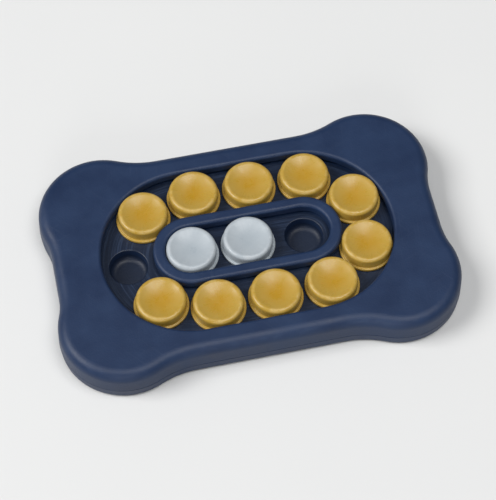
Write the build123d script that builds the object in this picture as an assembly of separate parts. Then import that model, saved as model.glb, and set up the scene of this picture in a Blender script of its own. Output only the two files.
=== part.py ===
from build123d import *
import math
import os

# Bone-shaped puzzle tray for a pet. Ten discs slide round a loop and two along a straight lane,
# each trapped by a flange under the guide curbs, over round treat cups in the deck below them.
# Millimetres. +X runs along the tray, +Z is up, the origin is on the table under the middle.

# Sliding discs
cap_diameter = 31.8
cap_height = 8.1  # from the top of the flange to the crest of the rim
cap_wall = 1.9
crest_radius = 2.2  # rounding of the raised rim
dish_depth = 2.6  # hollow of the top, below the crest
core_round = 1.0  # inside corner under the top
flange_lip = 1.5  # how far the flange stands out past the cap
flange_thickness = 2.2
flange_round = 0.5
flange_gap = 0.5  # between neighbours round the ends of the loop
glide_gap = 0.2  # under the flange
flange_headroom = 0.6  # over the flange
side_clearance = 0.55  # between a cap and the guide curb

# Loop and lane
loop_stations = 11
straight_steps = 2  # station pitches along each straight
free_loop_steps = 0  # from the left end of the loop to the station without a disc
free_lane_steps = 2

# Outline of the tray
end_border = 30.4  # from the loop's opening to the waist of a short side
side_border = 16.0  # from the loop's opening to the waist of a long side
short_waist = 4.4  # how far a short side is drawn in
long_waist = 8.6
lobe_radius = 41.0
short_waist_blend = 45.0  # hollow curve between a lobe and a short side
long_waist_blend = 60.0
draft_angle = 3.0  # degrees, both shells narrow away from the parting line

# Shells
shell_wall = 2.2
shell_fit = 0.3  # between the tongue of the base pan and the skirt of the cover
tongue_wall = 2.0
foot_stand = 1.5  # gap between the table and the rim of the base pan
rim_height = 7.2  # outer wall of the base pan
parting_gap = 0.4
deck_rise = 14.5  # top of the deck above the rim's lower edge
deck_thickness = 2.0
cover_plate = 2.4
edge_round = 7.0  # soft upper edge of the tray
rim_round = 1.0
guide_height = 6.0  # guide curbs, from their lower edge to the top of the cover
curb_wall = 1.8
opening_round = 2.2  # soft upper edges along the track
track_rim_wall = 1.8
track_rim_rise = 4.5
track_rim_gap = 0.4  # between the track rim and the curb that it stands round
kerb_clearance = 1.1  # between the island's kerb and the flanges on both sides of it
kerb_drop = 0.2  # kerb top below the curbs

# Treat cups
cup_diameter = 24.4
cup_depth = 9.0
cup_wall = 1.8
cup_corner = 4.0
cup_lip_round = 0.8

# Rubber feet and their sockets
foot_diameter = 18.0
foot_thickness = 3.0
foot_round = 0.7
foot_clearance = 0.2
socket_wall = 1.8
socket_floor = 2.0
foot_place_shares = (0.25, 0.08)  # of the lobe radius, outwards from the lobe's centre

# Ribs under the deck
rib_wall = 1.6
rib_depth = 7.0

# Screws and their bosses
cover_shank_diameter = 2.9
cover_head_diameter = 5.6
cover_head_height = 2.0
cover_boss_diameter = 7.0
cover_grip = 5.0  # length of shank inside the cover's boss
island_shank_diameter = 2.2
island_head_diameter = 4.4
island_head_height = 1.6
island_boss_diameter = 5.0
island_grip = 3.0
pilot_clearance = 0.1  # on the diameter, round a shank in its boss
shank_clearance = 0.5  # on the diameter, where a shank passes the deck
tip_room = 1.0  # pilot hole past the tip
tip_share = 0.8  # cone of the tip, of the shank's diameter
head_round_share = 0.45  # of the head's height
recess_span_share = 0.6  # of the head's diameter
recess_width_share = 0.17  # of the head's diameter
recess_depth_share = 0.55  # of the head's height
lobe_screw_shares = (-0.35, 0.52)  # of the lobe radius, outwards from the lobe's centre
island_screw_share = 0.5  # of half the straight

overrun = 1.0  # cuts run past the faces that they open
upwards = (0, 0, 1)
quarter_turn = 90  # degrees

# Track worked out from the discs
cap_radius = cap_diameter / 2
flange_radius = cap_radius + flange_lip
end_steps = (loop_stations - 2 * straight_steps) / 2
half_turn = math.pi / (2 * end_steps)
station_pitch = (2 * flange_radius + flange_gap) * half_turn / math.sin(half_turn)
straight = straight_steps * station_pitch
loop_radius = end_steps * station_pitch / math.pi
slot_half = cap_radius + side_clearance
opening_radius = loop_radius + slot_half
island_radius = loop_radius - slot_half
ring_middle = (slot_half + island_radius) / 2

# Outline worked out from the track
waist_x = straight / 2 + opening_radius + end_border
waist_y = opening_radius + side_border
lobe_x = waist_x + short_waist - lobe_radius
lobe_y = waist_y + long_waist - lobe_radius
cup_radius = cup_diameter / 2
cup_outer_radius = cup_radius + cup_wall
track_rim_radius = opening_radius + curb_wall + track_rim_gap
track_rim_outer = track_rim_radius + track_rim_wall
tongue_inset = shell_wall + shell_fit
tongue_inner = tongue_inset + tongue_wall

# Heights
shoulder_top = foot_stand + rim_height
skirt_bottom = shoulder_top + parting_gap
deck_top = foot_stand + deck_rise
deck_under = deck_top - deck_thickness
flange_bottom = deck_top + glide_gap
curb_bottom = flange_bottom + flange_thickness + flange_headroom
kerb_top = curb_bottom - kerb_drop
cover_top = curb_bottom + guide_height
plate_under = cover_top - cover_plate

# Places
quarters = ((1, 1), (-1, 1), (-1, -1), (1, -1))
foot_x = lobe_x + foot_place_shares[0] * lobe_radius
foot_y = lobe_y + foot_place_shares[1] * lobe_radius
lobe_screw_x = lobe_x + lobe_screw_shares[0] * lobe_radius
lobe_screw_y = lobe_y + lobe_screw_shares[1] * lobe_radius
side_screw_y = (track_rim_outer + waist_y - tongue_inner) / 2
end_screw_x = straight / 2 + (track_rim_outer + waist_x - straight / 2 - tongue_inner) / 2
island_screw_x = island_screw_share * straight / 2
foot_places = [(foot_x * across, foot_y * along) for across, along in quarters]
lobe_screw_places = [(lobe_screw_x * across, lobe_screw_y * along) for across, along in quarters]
waist_screw_places = [(0, side_screw_y), (0, -side_screw_y), (end_screw_x, 0), (-end_screw_x, 0)]
cover_screw_places = lobe_screw_places + waist_screw_places
island_screw_places = [(island_screw_x * across, ring_middle * along) for across, along in quarters]


def arc_about(center, start, end):
    turn = (start - center).normalized() + (end - center).normalized()
    middle = center + turn.normalized() * (start - center).length
    return ThreePointArc(start, middle, end)


# The bone outline: four lobes joined by hollow curves and short straights, moved in by an inset
def bone_face(inset):
    side_run = long_waist * (2 * long_waist_blend + 2 * lobe_radius - long_waist)
    end_run = short_waist * (2 * short_waist_blend + 2 * lobe_radius - short_waist)
    lobe = Vector(lobe_x, lobe_y)
    side_blend = Vector(lobe_x - math.sqrt(side_run), waist_y + long_waist_blend)
    end_blend = Vector(waist_x + short_waist_blend, lobe_y - math.sqrt(end_run))
    side_start = Vector(side_blend.X, waist_y - inset)
    end_stop = Vector(waist_x - inset, end_blend.Y)
    lobe_start = lobe + (side_blend - lobe).normalized() * (lobe_radius - inset)
    lobe_stop = lobe + (end_blend - lobe).normalized() * (lobe_radius - inset)
    corner = Curve() + [
        arc_about(side_blend, side_start, lobe_start),
        arc_about(lobe, lobe_start, lobe_stop),
        arc_about(end_blend, lobe_stop, end_stop),
    ]
    half = corner + mirror(corner, Plane.XZ)
    outline = half + mirror(half, Plane.YZ) + [
        Line(side_start, (-side_start.X, side_start.Y)),
        Line((side_start.X, -side_start.Y), (-side_start.X, -side_start.Y)),
        Line(end_stop, (end_stop.X, -end_stop.Y)),
        Line((-end_stop.X, end_stop.Y), (-end_stop.X, -end_stop.Y)),
    ]
    return make_face(outline.edges())


def bone_block(inset, bottom, top):
    return extrude(Pos(0, 0, bottom) * bone_face(inset), top - bottom, dir=upwards)


# A block that starts at one height with the inset asked for and narrows by the draft to the other
def drafted_block(inset, start, end):
    drawn_in = inset + abs(end - start) * math.tan(math.radians(draft_angle))
    return loft([Pos(0, 0, start) * bone_face(inset), Pos(0, 0, end) * bone_face(drawn_in)], ruled=True)


def stadium_block(radius, bottom, top):
    stadium = SlotCenterToCenter(straight, 2 * radius)
    return extrude(Pos(0, 0, bottom) * stadium, top - bottom, dir=upwards)


def stadium_ring(inner_radius, outer_radius, bottom, top):
    inner = stadium_block(inner_radius, bottom - overrun, top + overrun)
    return stadium_block(outer_radius, bottom, top) - inner


def round_post(place, radius, bottom, top):
    post = Cylinder(radius, top - bottom, align=(Align.CENTER, Align.CENTER, Align.MIN))
    return Pos(place[0], place[1], bottom) * post


# Centre line of the loop, clockwise from above, from the middle of its left end
def loop_line():
    left = Vector(-straight / 2, 0)
    right = Vector(straight / 2, 0)
    up = Vector(0, loop_radius)
    out = Vector(loop_radius, 0)
    return Wire([
        arc_about(left, left - out, left + up),
        Line(left + up, right + up),
        ThreePointArc(right + up, right + out, right - up),
        Line(right - up, left - up),
        arc_about(left, left - up, left - out),
    ])


def loop_place(step):
    point = loop_line().position_at(step * station_pitch, position_mode=PositionMode.LENGTH)
    return (point.X, point.Y)


def lane_place(step):
    return (step * station_pitch - straight / 2, 0)


loop_places = [loop_place(step) for step in range(loop_stations)]
lane_places = [lane_place(step) for step in range(straight_steps + 1)]


# A round bowl with a soft lower corner, turned about its own axis
def bowl(radius, corner, bottom, top):
    profile = make_face(Curve() + [
        Line((0, bottom), (radius - corner, bottom)),
        RadiusArc((radius - corner, bottom), (radius, bottom + corner), -corner),
        Line((radius, bottom + corner), (radius, top)),
        Line((radius, top), (0, top)),
        Line((0, top), (0, bottom)),
    ])
    return revolve(Plane.XZ * profile, Axis.Z)


def rib(start, end):
    run = Vector(*end) - Vector(*start)
    wall = Box(run.length, rib_wall, rib_depth, align=(Align.MIN, Align.CENTER, Align.MAX))
    turn = math.degrees(math.atan2(run.Y, run.X))
    return Pos(start[0], start[1], deck_under) * Rot(0, 0, turn) * wall


# Lower shell: stepped wall, deck, treat cups, foot sockets, screw holes and ribs
def make_base_pan():
    shelf_under = shoulder_top - shell_wall
    rim = drafted_block(0, shoulder_top, foot_stand)
    rim = fillet(rim.faces().sort_by(Axis.Z)[0].outer_wire().edges(), rim_round)
    pan = rim + drafted_block(tongue_inset, shoulder_top, deck_top)
    pan -= drafted_block(shell_wall, shelf_under, foot_stand - overrun)
    pan -= bone_block(tongue_inner, shelf_under - overrun, deck_under)

    cup_floor = deck_top - cup_depth
    shell = bowl(cup_outer_radius, cup_corner + cup_wall, cup_floor - cup_wall, deck_top)
    space = bowl(cup_radius, cup_corner, cup_floor, deck_top + overrun)
    places = loop_places + lane_places
    socket_outer = foot_diameter / 2 + foot_clearance + socket_wall
    seat_top = foot_thickness
    added = [Pos(*place) * shell for place in places]
    added += [round_post(place, socket_outer, foot_stand, deck_top) for place in foot_places]
    added += [rib(place, (place[0], math.copysign(waist_y - tongue_inner + tongue_wall / 2, place[1])))
              for place in places if abs(place[0]) < straight / 2 and place[1] != 0]
    added += [rib(place, (place[0], math.copysign(lobe_y + lobe_radius - tongue_inner, place[1])))
              for place in foot_places]
    added.append(stadium_ring(track_rim_radius, track_rim_outer, deck_top, deck_top + track_rim_rise))
    added.append(stadium_ring(flange_radius + kerb_clearance,
                              loop_radius - flange_radius - kerb_clearance, deck_top, kerb_top))
    added += [round_post(place, island_boss_diameter / 2, deck_top, kerb_top)
              for place in island_screw_places]
    pan += added

    cut = [Pos(*place) * space for place in places]
    cut += [round_post(place, socket_outer - socket_wall, foot_stand - overrun, seat_top)
            for place in foot_places]
    cut += [round_post(place, socket_outer - socket_wall, seat_top + socket_floor, deck_top + overrun)
            for place in foot_places]
    cut += [round_post(place, (cover_shank_diameter + shank_clearance) / 2, deck_under - overrun,
                       deck_top + overrun) for place in cover_screw_places]
    cut += [round_post(place, (island_shank_diameter + shank_clearance) / 2, deck_under - overrun,
                       kerb_top + overrun) for place in island_screw_places]
    pan -= cut
    lips = pan.edges().filter_by(GeomType.CIRCLE).filter_by_position(Axis.Z, deck_top, deck_top)
    return fillet([lip for lip in lips if math.isclose(lip.radius, cup_radius)], cup_lip_round)


# Upper shell: skirt and top in one, with the loop's opening, its guide curb and the screw bosses
def make_track_cover():
    outside = drafted_block(0, skirt_bottom, cover_top)
    outside = fillet(outside.faces().sort_by(Axis.Z)[-1].outer_wire().edges(), edge_round)
    inside = drafted_block(shell_wall, skirt_bottom, plate_under)
    inside = fillet(inside.faces().sort_by(Axis.Z)[-1].outer_wire().edges(), edge_round - shell_wall)
    cover = outside - inside
    cover += stadium_block(opening_radius + curb_wall, curb_bottom, plate_under)
    cover -= stadium_block(opening_radius, curb_bottom - overrun, cover_top + overrun)
    opening = cover.faces().sort_by(Axis.Z)[-1].inner_wires()[0]
    cover = fillet(opening.edges(), opening_round)
    cover += [round_post(place, cover_boss_diameter / 2, deck_top, plate_under)
              for place in cover_screw_places]
    pilot_radius = (cover_shank_diameter + pilot_clearance) / 2
    return cover - [round_post(place, pilot_radius, deck_top - overrun, deck_top + cover_grip + tip_room)
                    for place in cover_screw_places]


# Stadium ring between the loop and the lane: a channel section, curbs down, with four bosses
def make_island_cover():
    island = stadium_ring(slot_half, island_radius, curb_bottom, cover_top)
    island -= stadium_ring(slot_half + curb_wall, island_radius - curb_wall,
                           curb_bottom - overrun, plate_under)
    top = island.faces().sort_by(Axis.Z)[-1]
    island = fillet(top.edges(), opening_round)
    island += [round_post(place, island_boss_diameter / 2, kerb_top, plate_under)
               for place in island_screw_places]
    pilot_radius = (island_shank_diameter + pilot_clearance) / 2
    return island - [round_post(place, pilot_radius, kerb_top - overrun,
                                kerb_top + island_grip + tip_room) for place in island_screw_places]


# A sliding disc, turned about its own axis: flange, hollow cap, round rim and dished top
def make_disc():
    flange_top = flange_thickness
    crest_top = flange_top + cap_height
    crest = Vector(cap_radius - crest_radius, crest_top - crest_radius)
    dish_radius = (crest.X ** 2 + dish_depth ** 2) / (2 * dish_depth) - crest_radius
    dish_center = Vector(0, crest_top - dish_depth + dish_radius)
    dish_floor = Vector(0, crest_top - dish_depth)
    dish_edge = dish_center + (crest - dish_center).normalized() * dish_radius
    core_radius = cap_radius - cap_wall
    core_top = dish_floor.Y - cap_wall
    profile = make_face(Curve() + [
        arc_about(dish_center, dish_floor, dish_edge),
        arc_about(crest, dish_edge, Vector(cap_radius, crest.Y)),
        Polyline((cap_radius, crest.Y), (cap_radius, flange_top), (flange_radius, flange_top),
                 (flange_radius, 0), (core_radius, 0), (core_radius, core_top), (0, core_top),
                 dish_floor),
    ])
    corners = profile.vertices().filter_by_position(Axis.X, flange_radius, flange_radius)
    profile = fillet(corners, flange_round)
    core_corner = profile.vertices().filter_by_position(Axis.X, core_radius, core_radius).sort_by(Axis.Y)[-1]
    profile = fillet(core_corner, core_round)
    return revolve(Plane.XZ * profile, Axis.Z)


def make_foot():
    pad = Cylinder(foot_diameter / 2, foot_thickness, align=(Align.CENTER, Align.CENTER, Align.MIN))
    return fillet(pad.edges().filter_by(GeomType.CIRCLE).sort_by(Axis.Z)[0], foot_round)


# Self-tapping screw, head down, with the seat of the head at zero height
def make_screw(shank_diameter, head_diameter, head_height, shank_length):
    head = Cylinder(head_diameter / 2, head_height, align=(Align.CENTER, Align.CENTER, Align.MAX))
    head = fillet(head.edges().sort_by(Axis.Z)[0], head_round_share * head_height)
    tip = tip_share * shank_diameter
    body = round_post((0, 0), shank_diameter / 2, 0, shank_length - tip)
    point = Cone(shank_diameter / 2, 0, tip, align=(Align.CENTER, Align.CENTER, Align.MIN))
    arm = Box(recess_span_share * head_diameter, recess_width_share * head_diameter,
              recess_depth_share * head_height, align=(Align.CENTER, Align.CENTER, Align.MIN))
    recess = Pos(0, 0, -head_height) * (arm + Rot(0, 0, quarter_turn) * arm)
    return head + body + Pos(0, 0, shank_length - tip) * point - recess


def save(name, shape):
    export_step(shape, "parts/" + name + ".step")


os.makedirs("parts", exist_ok=True)
save("base_pan", make_base_pan())
save("track_cover", make_track_cover())
save("island_cover", make_island_cover())

disc = make_disc()
loop_filled = [place for step, place in enumerate(loop_places) if step != free_loop_steps]
lane_filled = [place for step, place in enumerate(lane_places) if step != free_lane_steps]
for number, place in enumerate(loop_filled, start=1):
    save("loop_slider_%02d" % number, Pos(place[0], place[1], flange_bottom) * disc)
for number, place in enumerate(lane_filled, start=1):
    save("lane_slider_%02d" % number, Pos(place[0], place[1], flange_bottom) * disc)

foot = make_foot()
foot_names = ("far_right", "far_left", "near_left", "near_right")
for name, place in zip(foot_names, foot_places):
    save("foot_pad_" + name, Pos(*place) * foot)

cover_screw = make_screw(cover_shank_diameter, cover_head_diameter, cover_head_height,
                         deck_thickness + cover_grip)
save("cover_screws", Compound([Pos(place[0], place[1], deck_under) * cover_screw
                               for place in cover_screw_places]))
island_screw = make_screw(island_shank_diameter, island_head_diameter, island_head_height,
                          kerb_top - deck_under + island_grip)
save("island_screws", Compound([Pos(place[0], place[1], deck_under) * island_screw
                                for place in island_screw_places]))
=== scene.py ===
import bpy
import bmesh
from math import atan2, pi, radians
from mathutils import Matrix, Vector


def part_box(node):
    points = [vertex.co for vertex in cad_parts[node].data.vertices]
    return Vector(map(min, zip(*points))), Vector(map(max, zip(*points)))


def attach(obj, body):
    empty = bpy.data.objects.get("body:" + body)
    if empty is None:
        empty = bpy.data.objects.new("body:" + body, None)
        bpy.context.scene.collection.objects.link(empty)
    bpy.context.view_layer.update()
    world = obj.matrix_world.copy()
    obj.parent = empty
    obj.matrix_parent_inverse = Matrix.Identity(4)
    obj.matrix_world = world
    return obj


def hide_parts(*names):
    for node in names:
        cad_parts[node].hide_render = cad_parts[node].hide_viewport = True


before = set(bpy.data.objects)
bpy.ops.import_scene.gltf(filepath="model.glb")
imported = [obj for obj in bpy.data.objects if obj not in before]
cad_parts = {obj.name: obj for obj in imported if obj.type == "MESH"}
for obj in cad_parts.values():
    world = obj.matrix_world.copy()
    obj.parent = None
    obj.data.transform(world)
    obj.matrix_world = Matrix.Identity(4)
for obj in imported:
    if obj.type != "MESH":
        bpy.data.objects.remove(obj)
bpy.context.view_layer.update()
print("frame loaded:", len(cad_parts), "nodes")


def middleOf(node):
    low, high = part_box(node)
    return (low + high) / 2


glideGap = 0.0002  # between the deck and a disc's flange
discLow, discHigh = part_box("loop_slider_03")

# sizes of the track, read off the discs that stand on it
track = {
    "halfStraight": abs(middleOf("lane_slider_01").x),
    "loopRadius": abs(middleOf("loop_slider_03").y),
    "flangeRadius": (discHigh.x - discLow.x) / 2,
    "deckTop": discLow.z - glideGap,
    "coverTop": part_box("track_cover")[1].z,
}


# shader helpers

def newFinish(name):
    finish = bpy.data.materials.new(name)
    finish.use_nodes = True
    return finish, finish.node_tree, finish.node_tree.nodes["Principled BSDF"]


def addNode(tree, kind, feeds, **settings):
    node = tree.nodes.new("ShaderNode" + kind)
    for setting, value in settings.items():
        setattr(node, setting, value)
    for socket, value in feeds.items():
        if isinstance(value, bpy.types.NodeSocket):
            tree.links.new(value, node.inputs[socket])
        else:
            node.inputs[socket].default_value = value
    return node


def lumps(tree, coords, size, detail=3.0, turn=0.0):  # soft noise, size is its grain along x, y, z
    laid = addNode(tree, "Mapping", {"Vector": coords, "Rotation": (0, 0, radians(turn)), "Scale": size},
                   vector_type="TEXTURE")
    return addNode(tree, "TexNoise", {"Vector": laid.outputs["Vector"], "Scale": 1.0, "Detail": detail,
                                      "Roughness": 0.55}).outputs["Fac"]


def ranged(tree, value, low, high, toLow=0.0, toHigh=1.0):
    return addNode(tree, "MapRange", {"Value": value, "From Min": low, "From Max": high,
                                      "To Min": toLow, "To Max": toHigh}).outputs["Result"]


def sums(tree, operation, first, second):
    return addNode(tree, "Math", {0: first, 1: second}, operation=operation).outputs["Value"]


def scaled(tree, value, share):
    return sums(tree, "MULTIPLY", value, share)


def tinted(tree, amount, first, second):
    return addNode(tree, "MixRGB", {"Fac": amount, "Color1": first, "Color2": second}).outputs["Color"]


def bumped(tree, height, strength, distance, under=None):
    feeds = {"Height": height, "Strength": strength, "Distance": distance}
    if under is not None:
        feeds["Normal"] = under
    return addNode(tree, "Bump", feeds).outputs["Normal"]


scuffLook = {
    "detail": 2.0,
    "soft": 0.06,             # how gently a mark fades in
    "patchTurn": 40,
    "patchRange": (0.44, 0.66),
}


def scuffMarks(tree, coords, look):  # hairline marks in a few directions, in patches
    marks = None
    detail, soft = scuffLook["detail"], scuffLook["soft"]
    for turn in look["scuffTurns"]:
        size = (look["scuffLength"], look["scuffWidth"], look["scuffWidth"])
        hair = lumps(tree, coords, size, detail, turn)
        patch = lumps(tree, coords, (look["scuffPatch"],) * 3, detail, turn + scuffLook["patchTurn"])
        line = scaled(tree, ranged(tree, hair, look["scuffFrom"], look["scuffFrom"] + soft),
                      ranged(tree, patch, *scuffLook["patchRange"]))
        marks = line if marks is None else sums(tree, "MAXIMUM", marks, line)
    return marks


# navy shells

shellLook = {
    "colour": (0.0104, 0.0285, 0.079, 1),
    "deepColour": (0.0064, 0.0188, 0.058, 1),
    "wornColour": (0.045, 0.073, 0.138, 1),
    "mottleSize": 0.024, "mottleRange": (0.3, 0.7),
    "grainSize": 0.0012,       # spark-eroded mould grain
    "fineGrainSize": 0.0003,
    "grainHeight": 0.00020, "grainStrength": 0.45,
    "fineHeight": 0.000067, "fineStrength": 0.35, "scuffStrength": 0.3,
    "roughRange": (0.15, 0.85), "roughness": (0.40, 0.54),
    "gloss": 0.38,
    "scuffLength": 0.045, "scuffWidth": 0.0004, "scuffPatch": 0.05, "scuffFrom": 0.66,
    "scuffTurns": (22, -48, 83),
    "scuffShow": 0.30, "scuffDull": 0.12,
    "edgeBand": 0.006,         # worn zone below the top
    "edgeFacing": (0.97, 0.70), "wallFacing": (0.05, 0.4),  # where the upper edge rolls over
    "wornSize": (0.011, 0.011, 0.004), "wornRange": (0.46, 0.68), "wornShow": 0.35,
    "trackLine": 0.0006,       # width of the lines that the flanges rub into the deck
    "trackRun": 0.03, "trackRange": (0.5, 0.7), "trackShow": 0.4,
    "trackSoft": 0.001,        # edge of the band that the flanges run in
    "trackFacing": (-0.05, 0.25),
    "deckReach": (0.0008, 0.0002), "deckPolish": 0.10,
    "recessShadeColour": (0.0040, 0.0070, 0.0150, 1),  # painted shade: the deck down in the track recess, darkened where the discs run
    "recessShade": 0.72,
}


def trackLines(tree, coords, facing, look):  # lines that follow the loop and the lane on the deck
    split = addNode(tree, "SeparateXYZ", {"Vector": coords})
    past = sums(tree, "SUBTRACT", sums(tree, "ABSOLUTE", split.outputs["X"], 0.0), track["halfStraight"])
    past = sums(tree, "MAXIMUM", past, 0.0)
    side = addNode(tree, "CombineXYZ", {"X": past, "Y": split.outputs["Y"]}).outputs[0]
    across = addNode(tree, "VectorMath", {0: side}, operation="LENGTH").outputs["Value"]
    run = addNode(tree, "CombineXYZ", {"X": across, "Y": split.outputs["X"], "Z": split.outputs["Y"]})
    line = lumps(tree, run.outputs[0], (look["trackLine"], look["trackRun"], look["trackRun"]), 2.0)
    offLoop = sums(tree, "ABSOLUTE", sums(tree, "SUBTRACT", across, track["loopRadius"]), 0.0)
    nearest = sums(tree, "MINIMUM", offLoop, across)
    band = ranged(tree, nearest, track["flangeRadius"], track["flangeRadius"] - look["trackSoft"])
    band = scaled(tree, band, ranged(tree, facing, *look["trackFacing"]))
    rise = sums(tree, "ABSOLUTE", sums(tree, "SUBTRACT", split.outputs["Z"], track["deckTop"]), 0.0)
    onDeck = scaled(tree, band, ranged(tree, rise, *look["deckReach"]))
    return band, onDeck, scaled(tree, onDeck, ranged(tree, line, *look["trackRange"]))


def wornEdge(tree, place, look):  # rubbed patches where the upper edge rolls over
    coords = place.outputs["Object"]
    facing = addNode(tree, "SeparateXYZ", {"Vector": place.outputs["Normal"]}).outputs["Z"]
    height = addNode(tree, "SeparateXYZ", {"Vector": coords}).outputs["Z"]
    rolled = scaled(tree, ranged(tree, facing, *look["edgeFacing"]),
                    ranged(tree, facing, *look["wallFacing"]))
    upper = ranged(tree, height, track["coverTop"] - look["edgeBand"], track["coverTop"])
    rubbed = ranged(tree, lumps(tree, coords, look["wornSize"], 5.0), *look["wornRange"])
    return facing, scaled(tree, scaled(tree, rolled, upper), rubbed)


def navyFinish(name, look, hasDeck):
    finish, tree, shader = newFinish(name)
    place = addNode(tree, "TexCoord", {})
    coords = place.outputs["Object"]
    mottle = ranged(tree, lumps(tree, coords, (look["mottleSize"],) * 3, 4.0), *look["mottleRange"])
    grain = lumps(tree, coords, (look["grainSize"],) * 3, 2.0)
    fine = lumps(tree, coords, (look["fineGrainSize"],) * 3, 1.0)
    scuffs = scuffMarks(tree, coords, look)
    facing, worn = wornEdge(tree, place, look)

    colour = tinted(tree, mottle, look["deepColour"], look["colour"])
    marks = sums(tree, "MAXIMUM", scaled(tree, scuffs, look["scuffShow"]),
                 scaled(tree, worn, look["wornShow"]))
    rough = sums(tree, "ADD", scaled(tree, mottle, 0.5), scaled(tree, grain, 0.5))
    rough = ranged(tree, rough, *look["roughRange"], *look["roughness"])
    rough = sums(tree, "ADD", rough, scaled(tree, scuffs, look["scuffDull"]))
    if hasDeck:
        band, deck, lines = trackLines(tree, coords, facing, look)
        # painted shade: the deck in the track recess is darkened towards near black
        colour = tinted(tree, scaled(tree, band, look["recessShade"]), colour, look["recessShadeColour"])
        marks = sums(tree, "MAXIMUM", marks, scaled(tree, lines, look["trackShow"]))
        rough = sums(tree, "SUBTRACT", rough, scaled(tree, deck, look["deckPolish"]))
    colour = tinted(tree, marks, colour, look["wornColour"])
    tree.links.new(colour, shader.inputs["Base Color"])
    tree.links.new(rough, shader.inputs["Roughness"])
    relief = bumped(tree, grain, look["grainStrength"], look["grainHeight"])
    relief = bumped(tree, fine, look["fineStrength"], look["fineHeight"], relief)
    smooth = sums(tree, "SUBTRACT", 1.0, scuffs)
    relief = bumped(tree, smooth, look["scuffStrength"], look["fineHeight"], relief)
    tree.links.new(relief, shader.inputs["Normal"])
    shader.inputs["Specular IOR Level"].default_value = look["gloss"]
    return finish


coverNavy = navyFinish("coverNavy", shellLook, False)
panNavy = navyFinish("panNavy", shellLook, True)
print("navy shells finished")


# sliding discs

discLook = {
    "lip": 0.0015,          # the flange past the cap
    "flangeHeight": 0.0022,
    "wall": 0.0019,
    "crestRound": 0.0022,   # rolled rim
    "dishDepth": 0.0026,
    "flangeRound": 0.0005,
    "rootRound": 0.0004,    # hollow corner where the cap meets its flange
    "coreRound": 0.0010,
    "pipRadius": 0.0012,    # moulding pip under the top
    "pipDrop": 0.0004,
    "dishSteps": 18, "rimSteps": 14, "steps": 128,
    "seedStep": 2.7,        # sets the flow lines of one disc off from the next
}

# for both colours, with places on the cap from 0 at its middle to 0.5 at its edge
discSurface = {
    "flowSize": (0.03, 0.5, 1.0), "flowRange": (0.38, 0.66), "flowFrom": (0.06, 0.22),
    "cloudSize": 0.008, "cloudRange": (0.32, 0.68), "cloudShow": 0.12,
    "rimInner": (0.40, 0.44), "rimOuter": (0.50, 0.47),
    "rubSize": 0.004, "rubRange": (0.45, 0.65), "rubShow": 0.45,
    # where the painted shade in the middle of the dish fades out towards the rim
    "dishShadeFrom": (0.34, 0.10),
    "scuffShow": 0.35, "markDull": 0.3,
    "roughRange": (0.1, 0.9),
    "peelSize": 0.0016, "peelHeight": 0.00002, "peelStrength": 0.25,
    "glow": 0.06, "glowDepth": 0.0015,
}

yellowLook = {
    "colour": (0.425, 0.268, 0.042, 1),
    # painted shade for the middle of the dish, also the colour of the flow streaks
    "dishShadeAndFlowColour": (0.405, 0.222, 0.012, 1),
    "wornColour": (0.560, 0.405, 0.145, 1),
    "streak": 0.22,
    "roughness": (0.24, 0.38),
    "scuffLength": 0.011, "scuffWidth": 0.00022, "scuffPatch": 0.012, "scuffFrom": 0.64,
    "scuffTurns": (8, -35, 62),
    "glowColour": (0.9, 0.45, 0.08),
}

whiteLook = {
    "colour": (0.385, 0.425, 0.455, 1),
    # painted shade for the middle of the dish, also the colour of the flow streaks
    "dishShadeAndFlowColour": (0.338, 0.380, 0.413, 1),
    "wornColour": (0.510, 0.535, 0.553, 1),
    "streak": 0.55,
    "roughness": (0.26, 0.42),
    "scuffLength": 0.012, "scuffWidth": 0.00024, "scuffPatch": 0.011, "scuffFrom": 0.63,
    "scuffTurns": (14, -28, 70),
    "glowColour": (0.8, 0.85, 0.9),
}


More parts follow.
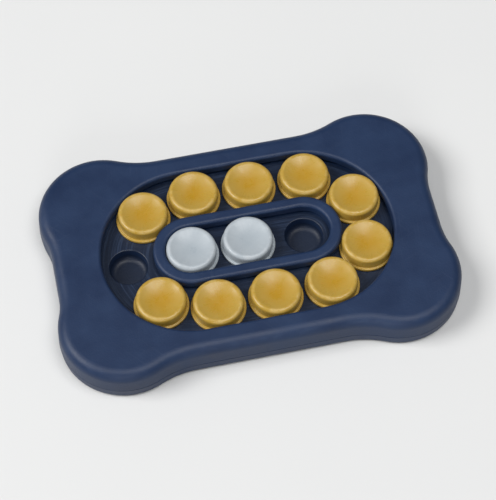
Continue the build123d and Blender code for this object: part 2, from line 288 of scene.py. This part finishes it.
def discFinish(name, look, surface):
    finish, tree, shader = newFinish(name)
    coords = addNode(tree, "TexCoord", {}).outputs["Object"]
    flat = addNode(tree, "UVMap", {}, uv_map="discMap").outputs["UV"]
    flat = addNode(tree, "VectorMath", {0: flat, 1: (0.5, 0.5, 0)}, operation="SUBTRACT").outputs["Vector"]
    reach = addNode(tree, "VectorMath", {0: flat}, operation="LENGTH").outputs["Value"]
    seed = addNode(tree, "Attribute", {}, attribute_name="discSeed").outputs["Fac"]
    turn = addNode(tree, "TexGradient", {"Vector": flat}, gradient_type="RADIAL").outputs["Fac"]
    fan = addNode(tree, "CombineXYZ", {"X": turn, "Y": reach, "Z": seed}).outputs[0]
    flow = ranged(tree, lumps(tree, fan, surface["flowSize"], 3.0), *surface["flowRange"])
    flow = scaled(tree, flow, ranged(tree, reach, *surface["flowFrom"]))  # melt that ran outwards

    cloud = ranged(tree, lumps(tree, coords, (surface["cloudSize"],) * 3, 4.0), *surface["cloudRange"])
    scuffs = scuffMarks(tree, coords, look)
    rim = scaled(tree, ranged(tree, reach, *surface["rimInner"]), ranged(tree, reach, *surface["rimOuter"]))
    rubbed = ranged(tree, lumps(tree, coords, (surface["rubSize"],) * 3, 5.0), *surface["rubRange"])
    worn = scaled(tree, rim, rubbed)

    # painted shade: the middle of the dish is darker and deeper in colour than its rim
    colour = tinted(tree, ranged(tree, reach, *surface["dishShadeFrom"]), look["colour"], look["dishShadeAndFlowColour"])
    colour = tinted(tree, scaled(tree, flow, look["streak"]), colour, look["dishShadeAndFlowColour"])
    colour = tinted(tree, scaled(tree, cloud, surface["cloudShow"]), colour, look["wornColour"])
    marks = sums(tree, "MAXIMUM", scaled(tree, scuffs, surface["scuffShow"]),
                 scaled(tree, worn, surface["rubShow"]))
    colour = tinted(tree, marks, colour, look["wornColour"])
    tree.links.new(colour, shader.inputs["Base Color"])

    rough = sums(tree, "ADD", scaled(tree, cloud, 0.6), scaled(tree, flow, 0.4))
    rough = ranged(tree, rough, *surface["roughRange"], *look["roughness"])
    rough = sums(tree, "ADD", rough, scaled(tree, marks, surface["markDull"]))
    tree.links.new(rough, shader.inputs["Roughness"])
    peel = lumps(tree, coords, (surface["peelSize"],) * 3, 2.0)
    relief = bumped(tree, peel, surface["peelStrength"], surface["peelHeight"])
    smooth = sums(tree, "SUBTRACT", 1.0, scuffs)
    relief = bumped(tree, smooth, surface["peelStrength"], surface["peelHeight"], relief)
    tree.links.new(relief, shader.inputs["Normal"])
    shader.inputs["IOR"].default_value = 1.5
    shader.inputs["Subsurface Weight"].default_value = surface["glow"]
    shader.inputs["Subsurface Radius"].default_value = look["glowColour"]
    shader.inputs["Subsurface Scale"].default_value = surface["glowDepth"]
    return finish


def extended(bm, vert, x, z):  # next corner of a profile in the xz plane
    made = bmesh.ops.extrude_vert_indiv(bm, verts=[vert])["verts"][0]
    made.co = (x, 0, z)
    return made


def lastVert(spun):
    return [item for item in spun["geom_last"] if isinstance(item, bmesh.types.BMVert)][0]


def rounded(bm, corner, size, segments=4):
    bmesh.ops.bevel(bm, geom=[corner], offset=size, offset_type="OFFSET", segments=segments, profile=0.5,
                    affect="VERTICES", material=-1)


turnLook = {"mergeReach": 0.000002, "creaseAngle": 38}


def turnedUp(bm, steps):  # whole turn of the profile, closed at its poles
    bmesh.ops.spin(bm, geom=bm.verts[:] + bm.edges[:], cent=(0, 0, 0), axis=(0, 0, 1), angle=2 * pi,
                   steps=steps, use_merge=True)
    bmesh.ops.remove_doubles(bm, verts=bm.verts[:], dist=turnLook["mergeReach"])
    bmesh.ops.recalc_face_normals(bm, faces=bm.faces[:])
    for face in bm.faces:
        face.smooth = True
    for edge in bm.edges:
        edge.smooth = edge.calc_face_angle(0) < radians(turnLook["creaseAngle"])


def placed(bm, name, place, finish):
    bmesh.ops.translate(bm, verts=bm.verts[:], vec=place)
    mesh = bpy.data.meshes.new(name)
    bm.to_mesh(mesh)
    bm.free()
    mesh.materials.append(finish)
    piece = bpy.data.objects.new(name, mesh)
    bpy.context.scene.collection.objects.link(piece)
    return piece


def makeDisc(name, node, number, look, finish):
    low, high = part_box(node)
    flangeRadius, height = (high.x - low.x) / 2, high.z - low.z
    capRadius = flangeRadius - look["lip"]
    coreRadius = capRadius - look["wall"]
    coreTop = height - look["dishDepth"] - look["wall"]
    crest = Vector((capRadius - look["crestRound"], 0, height - look["crestRound"]))
    dishRadius = (crest.x ** 2 + look["dishDepth"] ** 2) / (2 * look["dishDepth"]) - look["crestRound"]
    dishCentre = Vector((0, 0, height - look["dishDepth"] + dishRadius))
    dishTurn = atan2(crest.x, dishCentre.z - crest.z)

    bm = bmesh.new()
    start = bm.verts.new((0, 0, height - look["dishDepth"]))
    dish = bmesh.ops.spin(bm, geom=[start], cent=dishCentre, axis=(0, -1, 0), angle=dishTurn,
                          steps=look["dishSteps"])
    rim = bmesh.ops.spin(bm, geom=[lastVert(dish)], cent=crest, axis=(0, 1, 0), angle=pi / 2 + dishTurn,
                         steps=look["rimSteps"])
    root = extended(bm, lastVert(rim), capRadius, look["flangeHeight"])
    flangeUpper = extended(bm, root, flangeRadius, look["flangeHeight"])
    flangeLower = extended(bm, flangeUpper, flangeRadius, 0)
    coreLower = extended(bm, flangeLower, coreRadius, 0)
    coreUpper = extended(bm, coreLower, coreRadius, coreTop)
    pipFoot = extended(bm, coreUpper, look["pipRadius"], coreTop)
    pipEdge = extended(bm, pipFoot, look["pipRadius"], coreTop - look["pipDrop"])
    extended(bm, pipEdge, 0, coreTop - look["pipDrop"])
    rounded(bm, root, look["rootRound"])
    rounded(bm, flangeUpper, look["flangeRound"])
    rounded(bm, flangeLower, look["flangeRound"])
    rounded(bm, coreLower, look["rootRound"])
    rounded(bm, coreUpper, look["coreRound"])
    rounded(bm, pipEdge, look["pipDrop"] / 2, 2)
    turnedUp(bm, look["steps"])

    discMap = bm.loops.layers.uv.new("discMap")  # the disc from above, its middle at a half
    discSeed = bm.verts.layers.float.new("discSeed")
    for vert in bm.verts:
        vert[discSeed] = number * look["seedStep"]
        for loop in vert.link_loops:
            loop[discMap].uv = (0.5 + vert.co.x / (2 * capRadius), 0.5 + vert.co.y / (2 * capRadius))
    return placed(bm, name, ((low.x + high.x) / 2, (low.y + high.y) / 2, low.z), finish)


yellowGloss = discFinish("yellowGloss", yellowLook, discSurface)
whiteGloss = discFinish("whiteGloss", whiteLook, discSurface)
for family, count, finish, slotName in (("loop", 10, yellowGloss, "yellow_disc"),
                                        ("lane", 2, whiteGloss, "white_disc")):
    for number in range(1, count + 1):
        node = "%s_slider_%02d" % (family, number)
        disc = makeDisc("%s_cap_%02d" % (family, number), node, number, discLook, finish)
        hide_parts(node)
        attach(disc, "%s_disc_%02d" % (family, number))
print("discs turned")


# rubber feet

footLook = {
    "edgeRound": 0.0007,
    "ringWidth": 0.0009,    # moulded grip rings in the sole
    "ringDepth": 0.0004,
    "ringShares": (0.32, 0.52, 0.72),
    "steps": 96,
    "colour": (0.018, 0.018, 0.020, 1),
    "dustColour": (0.085, 0.082, 0.078, 1),
    "dustSize": 0.003, "dustRange": (0.45, 0.75), "dustShow": 0.4,
    "speckSize": 0.0003, "speckRange": (0.3, 0.7), "speckHeight": 0.00005, "speckStrength": 0.5,
    "roughness": (0.68, 0.88),
}


def rubberFinish(look):
    finish, tree, shader = newFinish("footRubber")
    coords = addNode(tree, "TexCoord", {}).outputs["Object"]
    dust = ranged(tree, lumps(tree, coords, (look["dustSize"],) * 3, 5.0), *look["dustRange"])
    speck = lumps(tree, coords, (look["speckSize"],) * 3, 2.0)
    colour = tinted(tree, scaled(tree, dust, look["dustShow"]), look["colour"], look["dustColour"])
    rough = ranged(tree, speck, *look["speckRange"], *look["roughness"])
    tree.links.new(colour, shader.inputs["Base Color"])
    tree.links.new(rough, shader.inputs["Roughness"])
    relief = bumped(tree, speck, look["speckStrength"], look["speckHeight"])
    tree.links.new(relief, shader.inputs["Normal"])
    return finish


def makeFoot(name, node, look, finish):
    low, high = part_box(node)
    radius, height = (high.x - low.x) / 2, high.z - low.z
    bm = bmesh.new()
    corner = bm.verts.new((0, 0, 0))
    for share in look["ringShares"]:  # out along the sole, up into each ring and back
        inner, outer = share * radius, share * radius + look["ringWidth"]
        for x, z in ((inner, 0), (inner, look["ringDepth"]), (outer, look["ringDepth"]), (outer, 0)):
            corner = extended(bm, corner, x, z)
    sole = extended(bm, corner, radius, 0)
    shoulder = extended(bm, sole, radius, height)
    extended(bm, shoulder, 0, height)
    rounded(bm, sole, look["edgeRound"])
    turnedUp(bm, look["steps"])
    return placed(bm, name, ((low.x + high.x) / 2, (low.y + high.y) / 2, low.z), finish)


footRubber = rubberFinish(footLook)
for corner in ("far_right", "far_left", "near_left", "near_right"):
    foot = makeFoot("foot_" + corner, "foot_pad_" + corner, footLook, footRubber)
    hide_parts("foot_pad_" + corner)
    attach(foot, "tray")
print("feet turned")


# zinc screws

screwLook = {
    "colour": (0.62, 0.62, 0.60, 1),
    "dullColour": (0.40, 0.41, 0.42, 1),
    "bloomSize": 0.0012, "bloomRange": (0.35, 0.7),
    "hairSize": (0.004, 0.0001, 0.0001), "hairTurn": 30, "hairHeight": 0.00002, "hairStrength": 0.2,
    "roughness": (0.26, 0.46),
}


def zincFinish(look):
    finish, tree, shader = newFinish("screwZinc")
    coords = addNode(tree, "TexCoord", {}).outputs["Object"]
    bloom = ranged(tree, lumps(tree, coords, (look["bloomSize"],) * 3, 4.0), *look["bloomRange"])
    hairs = lumps(tree, coords, look["hairSize"], 2.0, look["hairTurn"])
    tree.links.new(tinted(tree, bloom, look["colour"], look["dullColour"]), shader.inputs["Base Color"])
    tree.links.new(ranged(tree, bloom, 0.0, 1.0, *look["roughness"]), shader.inputs["Roughness"])
    relief = bumped(tree, hairs, look["hairStrength"], look["hairHeight"])
    tree.links.new(relief, shader.inputs["Normal"])
    shader.inputs["Metallic"].default_value = 1.0
    return finish


screwZinc = zincFinish(screwLook)
for node, finish in (("base_pan", panNavy), ("track_cover", coverNavy), ("island_cover", coverNavy),
                     ("cover_screws", screwZinc), ("island_screws", screwZinc)):
    for index in range(len(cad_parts[node].data.materials)):
        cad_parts[node].data.materials[index] = finish
print("shells and screws dressed")


# floor, light and camera

roomLook = {
    "floorSide": 12.0,
    "floorDrop": 0.0001,
    "floorColour": (0.70, 0.70, 0.69, 1),
    "floorShade": (0.66, 0.66, 0.655, 1),
    "floorCloud": 0.35,
    "floorRoughness": 0.7,
    "skyColour": (0.86, 0.90, 0.96, 1),
    "sky": 0.17,
    "skySeen": 0.80,  # the backdrop over the floor's edge
    # place, side, watts
    "lights": {
        "keyBox": ((-4.6, 0.4, 4.8), 3.2, 344.0),
        "topBox": ((1.2, -1.4, 6.4), 4.0, 248.0),
        "edgeBox": ((-1.4, -5.2, 2.2), 2.4, 64.0),
    },
}

cameraLook = {
    "azimuth": -12.0,
    "elevation": 60.0,
    "distance": 1.05,
    "lens": 118.0, "sensor": 36.0,
    "aim": (0.0, 0.0, 0.010),
}


def layFloor(look):
    finish, tree, shader = newFinish("floorPale")
    coords = addNode(tree, "TexCoord", {}).outputs["Object"]
    cloud = lumps(tree, coords, (look["floorCloud"],) * 3, 3.0)
    shade = tinted(tree, cloud, look["floorColour"], look["floorShade"])
    tree.links.new(shade, shader.inputs["Base Color"])
    shader.inputs["Roughness"].default_value = look["floorRoughness"]
    bm = bmesh.new()
    bmesh.ops.create_grid(bm, x_segments=1, y_segments=1, size=look["floorSide"] / 2)
    floor = placed(bm, "floor", (0, 0, -look["floorDrop"]), finish)


def hangLight(name, place, side, watts):
    lamp = bpy.data.lights.new(name, "AREA")
    lamp.size, lamp.energy = side, watts
    light = bpy.data.objects.new(name, lamp)
    light.location = place
    light.rotation_euler = (-Vector(place)).to_track_quat("-Z", "Y").to_euler()
    bpy.context.scene.collection.objects.link(light)


def setCamera(look):
    lens = bpy.data.cameras.new("camera")
    lens.lens, lens.sensor_width = look["lens"], look["sensor"]
    camera = bpy.data.objects.new("camera", lens)
    around = Matrix.Rotation(radians(look["azimuth"]), 4, "Z")
    over = Matrix.Rotation(radians(90 - look["elevation"]), 4, "X")
    back = Matrix.Translation((0, 0, look["distance"]))
    camera.matrix_world = Matrix.Translation(look["aim"]) @ around @ over @ back
    bpy.context.scene.collection.objects.link(camera)
    bpy.context.scene.camera = camera


def openSky(look):
    sky = bpy.data.worlds.new("sky")
    sky.use_nodes = True
    tree = sky.node_tree
    seen = addNode(tree, "LightPath", {}).outputs["Is Camera Ray"]
    strength = ranged(tree, seen, 0.0, 1.0, look["sky"], look["skySeen"])
    tree.links.new(strength, tree.nodes["Background"].inputs["Strength"])
    tree.nodes["Background"].inputs["Color"].default_value = look["skyColour"]
    bpy.context.scene.world = sky


layFloor(roomLook)
for name, (place, side, watts) in roomLook["lights"].items():
    hangLight(name, place, side, watts)
openSky(roomLook)
bpy.context.scene.view_settings.view_transform = "Standard"
setCamera(cameraLook)
print("floor, light and camera set")
